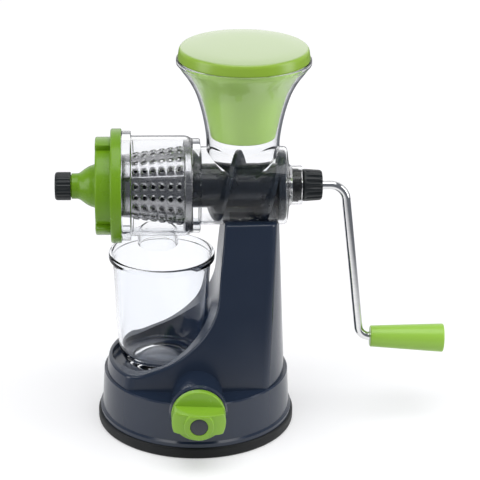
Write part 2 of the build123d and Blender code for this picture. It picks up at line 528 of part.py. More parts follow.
# ============================== pusher ==============================
with BuildPart() as pusher_body:
    turn_z(HOP_X, [(0, 237.6), (24.2, 237.6), (25.1, 238.6), (25.3, 241), (27.2, 250), (29.9, 262), (33.7, 274),
                   (39.1, 283.6), (44.3, 291), (47.4, 295.6), (48.4, 299.2), (45.8, 299.2), (45.8, 302.5),
                   (43.8, 302.5), (43.8, 297.5), (42.3, 291.5), (37.0, 284), (31.6, 274), (27.8, 262),
                   (25.1, 250), (23.2, 240), (0, 240)])
save(pusher_body, "pusher_body")

with BuildPart() as pusher_top:
    turn_z(HOP_X, [(45.85, 299.2), (50.0, 299.2), (50.2, 299.8), (49.2, 306.4), (48.3, 307.9), (46.8, 308.5),
                   (30, 308.9), (0, 309.1), (0, 306.4), (30, 306.2), (45.85, 305.6)])
save(pusher_top, "pusher_top")

# ============================== jar ==============================
with BuildPart() as jar:
    turn_z(JAR_X, [(0, 53), (14, 52), (21, 49.8), (22, RECESS_Z), (25.5, RECESS_Z), (30, 52.2), (33, 58),
                   (34.4, 66), (35.9, 82), (37.6, 125), (38.4, 134), (39, 136.6), (40.9, 137), (JAR_R, 137.8),
                   (JAR_R, 141.3), (40.9, JAR_TOP), (39.8, JAR_TOP), (38.6, 140.2), (36.2, 134), (35.4, 125),
                   (33.7, 82), (32.2, 66), (30.8, 60), (27, 55.6), (20, 54.4), (10, 56), (0, 56.6)])
save(jar, "jar")
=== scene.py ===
# Looks of a hand cranked juicer: suction base, clear juicing chamber, strainer, auger,
# crank, pusher and jar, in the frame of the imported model.  Outlines and the named sizes
# are in millimetres; lamps, patterns and the camera are in metres.
import json
import math

import bmesh
import bpy
from mathutils import Matrix, Vector


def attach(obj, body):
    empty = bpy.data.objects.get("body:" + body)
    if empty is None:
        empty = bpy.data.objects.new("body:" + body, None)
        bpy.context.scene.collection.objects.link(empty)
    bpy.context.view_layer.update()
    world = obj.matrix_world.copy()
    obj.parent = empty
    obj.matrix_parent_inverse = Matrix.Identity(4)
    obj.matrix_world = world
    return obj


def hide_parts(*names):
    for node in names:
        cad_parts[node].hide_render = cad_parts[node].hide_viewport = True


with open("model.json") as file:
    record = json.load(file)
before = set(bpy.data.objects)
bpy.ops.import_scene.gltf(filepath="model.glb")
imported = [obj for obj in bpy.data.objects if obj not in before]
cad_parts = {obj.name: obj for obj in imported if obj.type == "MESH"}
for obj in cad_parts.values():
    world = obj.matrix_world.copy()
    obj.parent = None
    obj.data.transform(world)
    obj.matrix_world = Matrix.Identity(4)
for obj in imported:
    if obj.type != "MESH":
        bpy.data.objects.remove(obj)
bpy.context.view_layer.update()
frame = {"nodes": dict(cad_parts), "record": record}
scene = bpy.context.scene
mm = 0.001

BARREL_Z = 196.8                              # height of the barrel's axis
CONE_X, CONE_R = -60.0, 23.7                  # small end of the strainer's cone, and its radius there
CONE_RISE, CONE_LENGTH = 6.5, 50.3            # how much wider it gets, over what length
PITCH = 35.5                                  # of the auger's flight
PHOTO_PIXELS, FOCAL_PIXELS, SENSOR = 480, 2012.468, 36.0


# ------------------------------------------------------------------ shader maths
class Link:
    """A socket of a material, so that shader maths reads as plain expressions."""

    def __init__(self, tree, socket):
        self.tree, self.socket = tree, socket

    def node(self, kind, settings=None, sockets=None, out=0):
        """Add one node: its settings first, then the values or links of its sockets."""
        made = self.tree.nodes.new(kind)
        for name, value in (settings or {}).items():
            setattr(made, name, value)
        for name, value in (sockets or {}).items():
            if isinstance(value, Link):
                self.tree.links.new(value.socket, made.inputs[name])
            else:
                made.inputs[name].default_value = value
        return Link(self.tree, made.outputs[out])

    def maths(self, operation, *values):
        return self.node("ShaderNodeMath", {"operation": operation}, dict(enumerate(values)))

    def __add__(self, other):
        return self.maths("ADD", self, other)

    def __mul__(self, other):
        return self.maths("MULTIPLY", self, other)

    __radd__, __rmul__ = __add__, __mul__

    def span(self, low, high, to_low=0.0, to_high=1.0):
        """Stretch a range of values to another one."""
        return self.node("ShaderNodeMapRange", {"clamp": True}, {
            "Value": self, "From Min": low, "From Max": high, "To Min": to_low, "To Max": to_high})

    def between(self, first, second):
        """Mix two colours by this value."""
        return self.node("ShaderNodeMix", {"data_type": "RGBA"},
                         {"Factor": self, 6: first, 7: second}, 2)


class Finish:
    """One material with its Principled shader, and the patterns that its maker may use."""

    def __init__(self, name, **constants):
        self.material = bpy.data.materials.new(name)
        self.material.use_nodes = True
        tree = self.material.node_tree
        self.shader = tree.nodes["Principled BSDF"]
        self.surface = tree.nodes["Material Output"].inputs["Surface"]
        self.link = Link(tree, None)
        for socket, value in constants.items():
            self.shader.inputs[socket.replace("_", " ")].default_value = value
        self.place = self.link.node("ShaderNodeTexCoord", out=3)

    def put(self, socket, value):
        self.link.tree.links.new(value.socket, self.shader.inputs[socket])

    def moved(self, scale, turn=(0, 0, 0)):
        return self.link.node("ShaderNodeMapping", {}, {
            "Vector": self.place, "Scale": scale, "Rotation": turn})

    def noise(self, scale, detail=3.0, roughness=0.5, where=None):
        return self.link.node("ShaderNodeTexNoise", {}, {
            "Vector": where or self.place, "Scale": scale, "Detail": detail, "Roughness": roughness})

    def bump(self, height, distance):
        return self.link.node("ShaderNodeBump", {}, {
            "Height": height, "Distance": distance, "Strength": 1.0})


def moulded(name, colour, shade, rough, skin=0.000008, worn=0.04, **constants):
    """Injection moulded plastic: faint colour drift, a soft skin ripple and hairline scuffs.

    skin is the height of the ripple in metres, and worn how much handling dulls the gloss."""
    f = Finish(name, **constants)
    drift = f.noise(14.0, 2.0)
    f.put("Base Color", drift.span(0.3, 0.7).between((*colour, 1), (*shade, 1)))
    scuffs = f.noise(1.0, 4.0, 0.6, f.moved((900, 60, 260), (0.3, 0.5, 0.2))).span(0.62, 0.78)
    handled = f.noise(55.0, 3.0).span(0.35, 0.7)
    f.put("Roughness", rough + handled * worn + scuffs * (worn * 1.6))
    ripple = f.noise(240.0, 2.0)
    f.put("Normal", f.bump(ripple + scuffs * 0.25, skin))
    return f.material


def lid_plastic(name, side, top):
    """Green plastic with a bright rim and a polished top face painted paler, a painted reflection of
    the pale backdrop.
    """
    f = Finish(name, Roughness=0.3, Coat_Roughness=0.08)
    height = f.place.node("ShaderNodeSeparateXYZ", {}, {0: f.place}, 2)
    height = height.span(307.4 * mm, 308.2 * mm)
    drift = f.noise(16.0, 2.0).span(0.3, 0.7, 0.0, 0.15)
    # the top's paler colour is a painted reflection of the backdrop on the top face; the coat on it is
    # real gloss
    f.put("Base Color", (height * 0.85 + drift).between((*side, 1), (*top, 1)))
    f.put("Coat Weight", height)
    f.put("Normal", f.bump(f.noise(240.0, 2.0), 0.000008))
    return f.material


def brushed(name, colour, rough, along, grain=0.00002):
    """Metal with a drawn or polished grain that runs one way."""
    f = Finish(name, Metallic=1.0)
    lines = f.noise(1.0, 4.0, 0.65, f.moved(along))
    darker = [c * 0.9 for c in colour]
    f.put("Base Color", lines.span(0.3, 0.75).between((*darker, 1), (*colour, 1)))
    f.put("Roughness", lines.span(0.2, 0.8, rough * 0.75, rough * 1.4))
    f.put("Normal", f.bump(lines, grain))
    return f.material


def clear_plastic(name, tint, rough, ior):
    """Clear polycarbonate: bends light to the eye and lets the lamps through to what is inside."""
    f = Finish(name, **{"Transmission Weight": 1.0, "IOR": ior})
    f.shader.inputs["Base Color"].default_value = (*tint, 1)
    f.put("Roughness", f.noise(70.0, 3.0).span(0.4, 0.8, rough, rough + 0.02))
    lamps = f.link.node("ShaderNodeLightPath", out="Is Shadow Ray")
    through = f.link.node("ShaderNodeBsdfTransparent", {}, {"Color": (*tint, 1)})
    body = Link(f.link.tree, f.shader.outputs[0])
    mixed = f.link.node("ShaderNodeMixShader", {}, {0: lamps, 1: body, 2: through})
    f.link.tree.links.new(mixed.socket, f.surface)
    return f.material


slate = moulded("slate_plastic", (0.012, 0.020, 0.039), (0.015, 0.024, 0.045), 0.17)
ink = moulded("auger_plastic", (0.007, 0.011, 0.017), (0.009, 0.013, 0.020), 0.24)
black = moulded("black_plastic", (0.009, 0.012, 0.014), (0.012, 0.015, 0.017), 0.32,
                Specular_IOR_Level=0.35)
charcoal = moulded("charcoal_button", (0.024, 0.028, 0.036), (0.028, 0.032, 0.040), 0.36)
lime = moulded("lime_plastic", (0.19, 0.37, 0.022), (0.21, 0.40, 0.030), 0.22)
deep_lime = moulded("deep_lime_plastic", (0.125, 0.265, 0.006), (0.14, 0.29, 0.009), 0.24,
                    Specular_IOR_Level=0.35)
lid_lime = lid_plastic("lid_lime_plastic", (0.23, 0.39, 0.022), (0.27, 0.38, 0.13))
# pusher cup: green plastic painted paler than the other limes, a painted glare of the hopper's clear
# wall in front of it
glare_pale_lime = moulded("lime_plastic_painted_glare", (0.36, 0.56, 0.13), (0.38, 0.58, 0.15), 0.30)
grip_lime = moulded("satin_lime_plastic", (0.28, 0.51, 0.055), (0.30, 0.54, 0.065), 0.28)
rubber = moulded("soft_rubber", (0.004, 0.005, 0.006), (0.006, 0.007, 0.008), 0.50,
                 skin=0.00003, worn=0.1, Specular_IOR_Level=0.3)
steel = brushed("strainer_steel", (0.34, 0.34, 0.35), 0.22, (40, 900, 900))
chrome = brushed("polished_steel", (0.80, 0.80, 0.80), 0.09, (30, 500, 500), grain=0.000002)
zinc = brushed("plated_screw", (0.62, 0.62, 0.60), 0.32, (400, 400, 400))
clear = clear_plastic("clear_polycarbonate", (0.985, 0.99, 0.997), 0.01, 1.27)
jar_clear = clear_plastic("clear_jar", (0.948, 0.962, 0.985), 0.01, 1.25)

finishes = {
    "base_housing": slate, "base_plate": black, "base_screws": zinc, "suction_pad": rubber,
    "pad_stem": black, "lock_cam": black, "lock_knob": lime, "knob_screw": zinc,
    "knob_button": charcoal, "juicing_chamber": clear, "foot_screws": zinc, "shaft_seal": rubber,
    "strainer": steel, "auger": ink, "auger_shaft": chrome, "crank_hub": black,
    "crank_rod": chrome, "grip": grip_lime, "grip_plug": grip_lime, "grip_screw": zinc,
    "front_cover": deep_lime, "cover_seal": rubber, "pulp_cap": black, "cap_liner": rubber,
    "pusher_body": glare_pale_lime, "pusher_top": lid_lime, "jar": jar_clear,
}
for name, node in frame["nodes"].items():
    node.data.materials.clear()
    node.data.materials.append(finishes[name])


# ------------------------------------------------------------------ shaping
class Turn:
    """A straight line that pieces are turned about, with the side on which outlines are drawn."""

    def __init__(self, at, along, out):
        self.at = Vector(at) * mm
        self.along, self.out = Vector(along).normalized(), Vector(out).normalized()

    def point(self, along, out):
        return self.at + self.along * (along * mm) + self.out * (out * mm)


barrel = Turn((0, 0, BARREL_Z), (1, 0, 0), (0, 0, 1))
knob = Turn((0, 0, 41.6), (0, 1, 0), (1, 0, 0))
hopper = Turn((35.5, 0, 0), (0, 0, 1), (1, 0, 0))
spout = Turn((-30, 0, 0), (0, 0, 1), (1, 0, 0))
jar_line = Turn((-27, 0, 0), (0, 0, 1), (1, 0, 0))
droop = math.radians(2.04)
handle = Turn((130.35, 0, 68.0), (math.cos(droop), 0, -math.sin(droop)), (0, 1, 0))


def turned(line, outline, steps=144, start=0.0, arc=360.0, tube=True):
    """Turn an outline of (along, out, corner radius) about a line.

    An outline that starts off the line is closed into a ring, unless tube is False."""
    bm = bmesh.new()
    chain = [bm.verts.new(line.point(*corner[:2])) for corner in outline]
    closed = tube and outline[0][1] > 0
    for pair in zip(chain, chain[1:] + chain[:1] if closed else chain[1:]):
        bm.edges.new(pair)
    rounds = {}
    for corner, vert in zip(outline, chain):
        if len(corner) > 2:
            rounds.setdefault(corner[2], []).append(vert)
    for radius, corners in rounds.items():
        bmesh.ops.bevel(bm, geom=corners, offset=radius * mm, segments=4, profile=0.5,
                        affect="VERTICES", material=-1)
    bmesh.ops.rotate(bm, verts=bm.verts[:], cent=line.at,
                     matrix=Matrix.Rotation(math.radians(start), 3, line.along))
    bmesh.ops.spin(bm, geom=bm.verts[:] + bm.edges[:], cent=line.at, axis=line.along,
                   angle=math.radians(arc), steps=steps, use_merge=arc == 360.0)
    if arc != 360.0:
        bmesh.ops.holes_fill(bm, edges=[e for e in bm.edges if e.is_boundary], sides=0)
    bmesh.ops.remove_doubles(bm, verts=bm.verts[:], dist=1e-6)
    bmesh.ops.recalc_face_normals(bm, faces=bm.faces[:])
    return bm


def block(low, high, edge, fine=3):
    """A box between two corners in millimetres, with rounded edges."""
    bm = bmesh.new()
    bmesh.ops.create_cube(bm, size=1.0)
    low, high = Vector(low) * mm, Vector(high) * mm
    bmesh.ops.scale(bm, verts=bm.verts[:], vec=high - low)
    bmesh.ops.translate(bm, verts=bm.verts[:], vec=(low + high) / 2)
    bmesh.ops.bevel(bm, geom=bm.edges[:], offset=edge * mm, segments=fine, profile=0.5,
                    affect="EDGES", material=-1)
    return bm


def carved(body, tool, operation="DIFFERENCE"):
    """Cut a closed shape out of another one, join them, or keep what they share."""
    shapes = []
    for bm in (body, tool):
        mesh = bpy.data.meshes.new("shape")
        bm.to_mesh(mesh)
        bm.free()
        shapes.append(bpy.data.objects.new("shape", mesh))
        scene.collection.objects.link(shapes[-1])
    step = shapes[0].modifiers.new("carve", "BOOLEAN")
    step.object, step.operation, step.solver = shapes[1], operation, "EXACT"
    made = bmesh.new()
    made.from_object(shapes[0], bpy.context.evaluated_depsgraph_get())
    for shape in shapes:
        bpy.data.meshes.remove(shape.data)
    return made


def fluted(bm, line, reach, low, high, count, depth, sharp):
    """Press grooves into a turned knob, outside a radius and between two places along its line."""
    side = line.along.cross(line.out)
    for vert in bm.verts:
        away = vert.co - line.at
        along = away.dot(line.along) / mm
        flat = away - line.along * away.dot(line.along)
        if flat.length < reach * mm or not low - 1e-3 <= along <= high + 1e-3:
            continue
        turn = math.atan2(flat.dot(side), flat.dot(line.out))
        groove = (0.5 - 0.5 * math.cos(count * turn)) ** sharp
        vert.co -= flat.normalized() * (depth * mm * groove)


bodies = {node: body for body, nodes in frame["record"]["behaviour"]["bodies"].items()
          for node in nodes}


def finished(name, node, shapes, crease=32.0):
    """Make one piece of closed shapes, smooth but for its creases, in place of a node."""
    mesh = bpy.data.meshes.new(name)
    whole = bmesh.new()
    for shape in shapes:
        shape.to_mesh(mesh)
        shape.free()
        whole.from_mesh(mesh)
    whole.to_mesh(mesh)
    whole.free()
    mesh.shade_smooth()
    mesh.set_sharp_from_angle(angle=math.radians(crease))
    mesh.materials.append(finishes[node])
    piece = bpy.data.objects.new(name, mesh)
    scene.collection.objects.link(piece)
    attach(piece, bodies[node])
    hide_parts(node)


# ------------------------------------------------------------------ juicing chamber
# The hopper's inside, and how thick its wall is
funnel = [(236, 26.1, 6), (250, 28.2, 5), (262, 31.0, 5), (274, 34.9, 4.5), (284, 40.4, 3.5),
          (291, 45.6, 2.5)]
FUNNEL_WALL = 1.95
SCREW_X = 34, 48                              # of the two screws in the foot


def chamber_shape():
    """One clear moulding: stepped barrel, flared hopper, spout and foot, all bored through."""
    shape = turned(barrel, [
        (-62.8, 0), (-62.8, 38.6, 0.4), (-57.5, 38.6, 0.3), (-57.5, 42.4, 0.7), (-50.6, 42.4, 0.7),
        (-50.6, 38.7, 0.9), (-7.5, 38.7, 2.6), (-4.0, 36.4, 1.8), (2.7, 36.4, 1.2), (2.7, 30.2, 0.9),
        (69.5, 30.2, 2.4), (71.2, 16.5, 1.6), (73.2, 15, 0.6), (81.4, 15, 0.6), (81.4, 0)], 160)
    walls = [(z, r + FUNNEL_WALL, bend) for z, r, bend in funnel]
    mouth = [(295.3, 50.4, 1.2), (296.2, 51.4, 0.5), (299.2, 51.4, 0.9), (299.2, 0)]
    added = [
        turned(hopper, [(200, 0), (200, 28.0), (232, 28.0, 6)] + walls + mouth, 160),
        turned(spout, [(170, 0), (170, 15.7), (148.5, 15.7, 0.7), (148.5, 0)], 96),
        block((26, -12, 157), (56, 12, 172), 1.0)]
    for solid in added:
        shape = carved(shape, solid, "UNION")
    throat = [(BARREL_Z, 0), (BARREL_Z, 24.6), (218, 24.6, 2), (222, 26.0, 2)]
    bores = [
        turned(barrel, [(-63.8, 0), (-63.8, 36), (-4.2, 36, 0.8), (-4.2, 28.2, 0.8), (68.5, 28.2, 1.5),
                        (68.5, 6.4), (73.4, 6.4), (73.4, 13), (82.4, 13), (82.4, 0)], 160),
        turned(hopper, throat + funnel + [(295.9, 49.0, 0.6), (302, 49.0), (302, 0)], 160),
        turned(spout, [(176.8, 0), (176.8, 13.7), (147.5, 13.7), (147.5, 0)], 96)]
    for x in SCREW_X:
        hole = Turn((x, 0, 0), (0, 0, 1), (1, 0, 0))
        bores.append(turned(hole, [(156, 0), (156, 1.55), (166, 1.55), (166, 0)], 24))
    for bore in bores:
        shape = carved(shape, bore)
    return shape


def chamber_lugs():
    """Three bayonet lugs on the open end of the barrel."""
    return [turned(barrel, [(-62.8, 38.0), (-62.8, 41.2, 0.5), (-60.6, 41.2, 0.5), (-60.6, 38.0)], 12,
                   90 - turn - 15, 30.0) for turn in (90, 210, 330)]


def jar_shape():
    """A tapered jug with a rolled rim, a foot ring and a raised floor."""
    return turned(jar_line, [
        (53, 0), (52, 14, 3), (49.6, 21, 0.8), (49, 22.4, 0.5), (49, 25.5, 1.0), (52.2, 30.2, 2.2),
        (58.5, 33.1, 3.0), (66, 34.4, 3), (82, 35.9, 6), (125, 37.6, 6), (134, 38.4, 1.5),
        (136.8, 39.0, 0.5), (137, 41.4, 0.8), (142, 41.4, 1.0), (142, 39.4, 0.6), (140, 38.4, 1.0),
        (134, 36.3, 2), (125, 35.4, 6), (82, 33.7, 6), (66, 32.2, 3), (60, 30.8, 2.4),
        (55.4, 27, 2.4), (54.6, 20, 3), (56, 10, 3), (56.6, 0)], 160)


# ------------------------------------------------------------------ strainer
CELL_X, CELL_Y = 3.36, 4.372                  # half a cell along the cone and round it
ROWS, COLUMNS, FIRST_X, FIRST_TURN = 19, 6, -47.1, 13
WRAP_R, SEAM, SHEET = 27.0, 31.3, 0.8         # radius the sheet is drawn at, seam, thickness


def cone_radius(x):
    return CONE_R + (x - CONE_X) * CONE_RISE / CONE_LENGTH


def on_cone(bm):
    """Wrap a flat sheet, drawn along x and y, round the cone of the strainer."""
    for vert in bm.verts:
        x, y, lift = vert.co / mm
        turn = math.radians(SEAM) + y / WRAP_R
        out = cone_radius(x) + lift
        vert.co = Vector((x, -out * math.cos(turn), BARREL_Z + out * math.sin(turn))) * mm


def strainer_shapes():
    """A cone sheet with rows of holes pressed out into collars, a lapped seam and two end rings."""
    hole = Turn((0, 0, 0), (0, 0, 1), (1, 0, 0))
    cell = turned(hole, [(-SHEET, 3.3), (-SHEET, 1.45), (0.15, 1.45), (0.62, 1.62), (0.74, 1.9),
                         (0.62, 2.18), (0.2, 2.42), (0.02, 2.7), (0, 3.3)], 16, tube=False)
    for vert in cell.verts:
        x, y = vert.co.x / mm, vert.co.y / mm
        if math.hypot(x, y) > 3.2:
            fit = 1 / max(abs(x), abs(y))
            vert.co.x, vert.co.y = x * fit * CELL_X * mm, y * fit * CELL_Y * mm
    shape = bpy.data.meshes.new("cell")
    cell.to_mesh(shape)
    cell.free()
    sheet = bmesh.new()
    for row in range(ROWS):
        for column in range(COLUMNS):
            added = len(sheet.verts)
            sheet.from_mesh(shape)
            sheet.verts.ensure_lookup_table()
            bmesh.ops.translate(sheet, verts=sheet.verts[added:], vec=(
                (FIRST_X + column * 2 * CELL_X) * mm,
                (FIRST_TURN * WRAP_R * math.pi / 180 + row * 2 * CELL_Y) * mm, 0))
    bpy.data.meshes.remove(shape)
    bmesh.ops.remove_doubles(sheet, verts=sheet.verts[:], dist=0.02 * mm)
    bmesh.ops.bridge_loops(sheet, edges=[e for e in sheet.edges if e.is_boundary])
    bmesh.ops.recalc_face_normals(sheet, faces=sheet.faces[:])
    on_cone(sheet)
    lap = block((-59.9, -1.75, -SHEET), (-9.8, 1.75, 0.45), 0.2, 2)
    across = [e for e in lap.edges if abs(e.verts[0].co.y - e.verts[1].co.y) > 2 * mm]
    bmesh.ops.subdivide_edges(lap, edges=across, cuts=3)
    on_cone(lap)
    small = turned(barrel, [(-60, 22.9, 0.2), (-60, 23.78, 0.2), (-50.36, 25.0, 0.05),
                            (-50.36, 24.1, 0.05)], 128)
    large = turned(barrel, [(-10.3, 29.3), (-10.3, 30.24), (-9.75, 30.4, 0.2), (-9.7, 35.0, 0.3),
                            (-9.3, 35.8, 0.4), (-4.2, 35.8, 0.5), (-4.2, 29.4, 0.3)], 128)
    return [sheet, lap, small, large]


# ------------------------------------------------------------------ auger
def auger_shapes():
    """A core with one left-handed flight that fills the cone and then the throat, and an end disc."""
    first = 30.8 - 3 * PITCH                  # three turns before the crest under the hopper
    room_in_cone = 1.35                       # between the flight and the cone
    flight = bmesh.new()
    edge = [(-4.6, 15.5), (-2.9, 18.2), (-1.9, 21.5), (-1.7, 26.6), (-1.35, 27.5), (-0.8, 27.8),
            (0.8, 27.8), (1.35, 27.5), (1.7, 26.6), (1.9, 21.5), (2.9, 18.2), (4.6, 15.5)]
    chain = [flight.verts.new(barrel.point(first + a, r)) for a, r in edge]
    for pair in zip(chain, chain[1:] + chain[:1]):
        flight.edges.new(pair)
    steps, length = 480, 64.4 - first
    bmesh.ops.spin(flight, geom=flight.verts[:] + flight.edges[:], cent=barrel.at,
                   axis=barrel.along, dvec=barrel.along * (length / steps * mm),
                   angle=-2 * math.pi * length / PITCH, steps=steps)
    bmesh.ops.holes_fill(flight, edges=[e for e in flight.edges if e.is_boundary], sides=0)
    bmesh.ops.recalc_face_normals(flight, faces=flight.faces[:])
    for vert in flight.verts:
        x = vert.co.x / mm
        out = Vector((0, vert.co.y, vert.co.z - BARREL_Z * mm))
        room = cone_radius(x) - room_in_cone
        if x < -7.2 and out.length > room * mm:
            vert.co = Vector((vert.co.x, 0, BARREL_Z * mm)) + out.normalized() * (room * mm)
    for place, way in ((-50.0, -1), (64.0, 1)):
        bmesh.ops.bisect_plane(flight, geom=flight.verts[:] + flight.edges[:] + flight.faces[:],
                               plane_co=(place * mm, 0, 0), plane_no=(way, 0, 0), clear_outer=True)
        bmesh.ops.holes_fill(flight, edges=[e for e in flight.edges if e.is_boundary], sides=0)
    core = turned(barrel, [(-61, 0), (-61, 5.5, 1.0), (-58, 8, 2), (-54, 13, 2), (-50, 17, 3),
                           (62.4, 17, 1.5), (62.4, 27.4, 0.7), (67.7, 27.4, 0.9), (67.7, 6.05),
                           (30, 6.05), (30, 0)], 128)
    return [core, flight]


# ------------------------------------------------------------------ front cover, cap and crank
WING_TURNS, WING_ARC = (106.7, 286.7), 63.0   # degrees round the barrel


def cover_shapes():
    """A flanged drum with two finger wings, a stepped snout and its bore."""
    shell = turned(barrel, [
        (-106.4, 6.5, 0.4), (-106.4, 8.6, 0.4), (-96.2, 8.6, 0.3), (-96.2, 9.9, 0.6), (-90.6, 9.9, 1.4),
        (-88.4, 11.4, 0.8), (-85.6, 13.6, 0.8), (-82.2, 15.6, 0.8), (-77.8, 17.0, 0.9),
        (-77.8, 33.2, 1.6), (-66, 33.2, 0.8), (-66, 44.2, 1.5), (-57.7, 44.2, 1.0),
        (-57.7, 41.6, 0.5), (-64, 41.6, 0.5), (-64, 31.2), (-75.8, 31.2), (-75.8, 26.6),
        (-58.2, 26.6, 0.3), (-58.2, 24.05, 0.3), (-66, 24.05), (-66, 22.6), (-76, 14.2, 1),
        (-82, 12.2, 1), (-88, 8, 1), (-91, 6.5, 1)], 160)
    section = [(-77.8, 32.0), (-77.8, 37.9, 1.4), (-65.6, 37.9, 0.6), (-65.6, 32.0)]
    wings = [turned(barrel, section, 40, 90 - middle - WING_ARC / 2, WING_ARC) for middle in WING_TURNS]
    for wing in wings:
        ends = [f for f in wing.faces if abs(f.normal.x) < 0.05 and f.calc_area() > 4e-5]
        bmesh.ops.bevel(wing, geom=[e for f in ends for e in f.edges], offset=0.8 * mm,
                        segments=3, profile=0.5, affect="EDGES", material=-1)
    return [shell] + wings


def cap_shape():
    """A closed cap with fine grooves round it."""
    shape = turned(barrel, [
        (-109, 0), (-109, 9.2, 0.5), (-108.3, 10.6, 0.7), (-107.0, 10.9, 0.6), (-105.5, 10.9),
        (-103, 10.9), (-100, 10.9), (-97.6, 10.9), (-96.9, 10.9, 0.3), (-96.9, 8.75),
        (-107.8, 8.75), (-107.8, 0)], 200)
    fluted(shape, barrel, 10.0, -107.6, -96.9, count=20, depth=0.55, sharp=2.0)
    return shape


def hub_shape():
    """A tapered knob with deep grooves, open for the shaft and the rod."""
    shape = turned(barrel, [
        (81.9, 6.05), (81.9, 11.9, 0.5), (82.6, 12.5, 0.4), (84.0, 12.5), (85.0, 12.4), (91, 12.0),
        (95.4, 11.7, 0.8), (97.0, 10.6, 0.7), (97.2, 6.0, 0.8), (97.2, 3.45)], 192)
    fluted(shape, barrel, 10.9, 84.6, 97.0, count=16, depth=1.15, sharp=2.5)
    return shape


def grip_shape():
    """A smooth tapered handle, open at its outer end for the plug."""
    return turned(handle, [
        (8.6, 3.45), (8.6, 8.4, 0.8), (30, 9.55, 4), (66.9, 11.4, 1.0), (67.2, 11.0, 0.5),
        (67.2, 6.6, 0.2), (64.8, 6.6), (64.8, 5.6), (58.2, 5.6), (58.2, 3.45)])


# ------------------------------------------------------------------ lock knob
def knob_shapes():
    """A round plate with a bowed bar across it and a hub below the bar."""
    tilt = Matrix.Rotation(math.radians(2.5), 3, knob.along)
    plate = turned(knob, [(-82.4, 4.1), (-82.4, 20.8, 0.7), (-87.5, 20.8, 1.2), (-87.5, 4.1)])
    half = 8.6 * mm                           # of the bar's width
    bow = [(-24, -92), (-24, -95.2), (-16, -100.1), (-8, -103), (0, -104), (8, -103),
           (16, -100.1), (24, -95.2), (24, -92), (24, -86), (-24, -86)]
    bar = bmesh.new()
    face = bar.faces.new([bar.verts.new(knob.point(y, x)) for x, y in bow])
    thick = bmesh.ops.extrude_face_region(bar, geom=[face])["geom"]
    raised = [v for v in thick if isinstance(v, bmesh.types.BMVert)]
    bmesh.ops.translate(bar, verts=raised, vec=(0, 0, 2 * half))
    bmesh.ops.translate(bar, verts=bar.verts[:], vec=(0, 0, -half))
    bmesh.ops.recalc_face_normals(bar, faces=bar.faces[:])
    bmesh.ops.rotate(bar, verts=bar.verts[:], cent=knob.at, matrix=tilt)
    bar = carved(bar, turned(knob, [(-110, 0), (-110, 20.6), (-80, 20.6), (-80, 0)]), "INTERSECT")
    bmesh.ops.dissolve_limit(bar, angle_limit=math.radians(1.0), verts=bar.verts[:],
                             edges=bar.edges[:])
    brim = [e for e in bar.edges if len(e.link_faces) == 2
            and e.calc_face_angle(0) > math.radians(50)
            and min(v.co.y for v in e.verts) < -0.0880]
    bmesh.ops.bevel(bar, geom=brim, offset=1.1 * mm, segments=4, profile=0.5, affect="EDGES",
                    material=-1)
    hub = turned(knob, [(-88, 0), (-88, 12.0), (-105.5, 11.4, 1.2), (-105.5, 6.8, 0.3),
                        (-102.5, 6.8), (-102.5, 0)], 96)
    above = tilt @ Vector((0, 0, 1))
    bmesh.ops.bisect_plane(hub, geom=hub.verts[:] + hub.edges[:] + hub.faces[:],
                           plane_co=knob.at + above * (8.2 * mm), plane_no=above, clear_outer=True)
    bmesh.ops.holes_fill(hub, edges=[e for e in hub.edges if e.is_boundary], sides=0)
    return [plate, bar, hub]


def button_shape():
    """A slightly domed plug in the hub."""
    return turned(knob, [(-102.5, 0), (-102.5, 6.75), (-105.5, 6.7, 0.6), (-105.9, 3, 2),
                         (-105.9, 0)], 72)


# ------------------------------------------------------------------ pusher and base
def pusher_top_shape():
    """A lid with a slightly domed top."""
    return turned(hopper, [
        (299.2, 45.85), (299.2, 50.0, 0.4), (300.0, 50.2, 0.4), (306.2, 49.3, 1.0),
        (308.2, 48.0, 0.9), (308.9, 30, 4), (309.1, 0), (306.4, 0), (306.2, 30),
        (305.6, 45.85)], 160)


def pusher_body_shape():
    """A flared cup that follows the hopper's inside."""
    return turned(hopper, [
        (237.6, 0), (237.6, 24.6, 1.2), (241, 25.3, 1), (250, 27.2, 3), (262, 29.9, 5),
        (274, 33.7, 4), (283.6, 39.1, 3), (291, 44.3, 2.5), (295.6, 47.4, 1.2), (299.2, 48.4, 0.4),
        (299.2, 45.8), (302.5, 45.8), (302.5, 43.8), (297.5, 43.8), (291.5, 42.3, 2), (284, 37.0, 3),
        (274, 31.6, 4), (262, 27.8, 5), (250, 25.1, 4), (240, 23.2, 1), (240, 0)])


def pad_shape():
    """A flat ring with a thin skin across it."""
    middle = Turn((0, 0, 0), (0, 0, 1), (1, 0, 0))
    return turned(middle, [
        (0, 0), (0, 77.0, 0.6), (1.2, 77.99, 0.8), (7.8, 77.99, 0.7), (9, 77.2, 0.6), (9, 68.1),
        (6, 68.1), (2.4, 64.1, 2), (1.4, 19, 2), (1.4, 0)], 192)


finished("clear_chamber", "juicing_chamber", [chamber_shape()] + chamber_lugs(), 30)
finished("juice_jar", "jar", [jar_shape()], 30)
finished("pressed_strainer", "strainer", strainer_shapes(), 40)
finished("screw_auger", "auger", auger_shapes(), 40)
finished("bayonet_cover", "front_cover", cover_shapes())
finished("ribbed_cap", "pulp_cap", [cap_shape()], 50)
finished("ribbed_hub", "crank_hub", [hub_shape()], 50)
finished("turned_grip", "grip", [grip_shape()])
finished("lock_handle", "lock_knob", knob_shapes())
finished("knob_cap", "knob_button", [button_shape()])
finished("pusher_lid", "pusher_top", [pusher_top_shape()])
finished("pusher_cup", "pusher_body", [pusher_body_shape()])
finished("rubber_foot", "suction_pad", [pad_shape()])


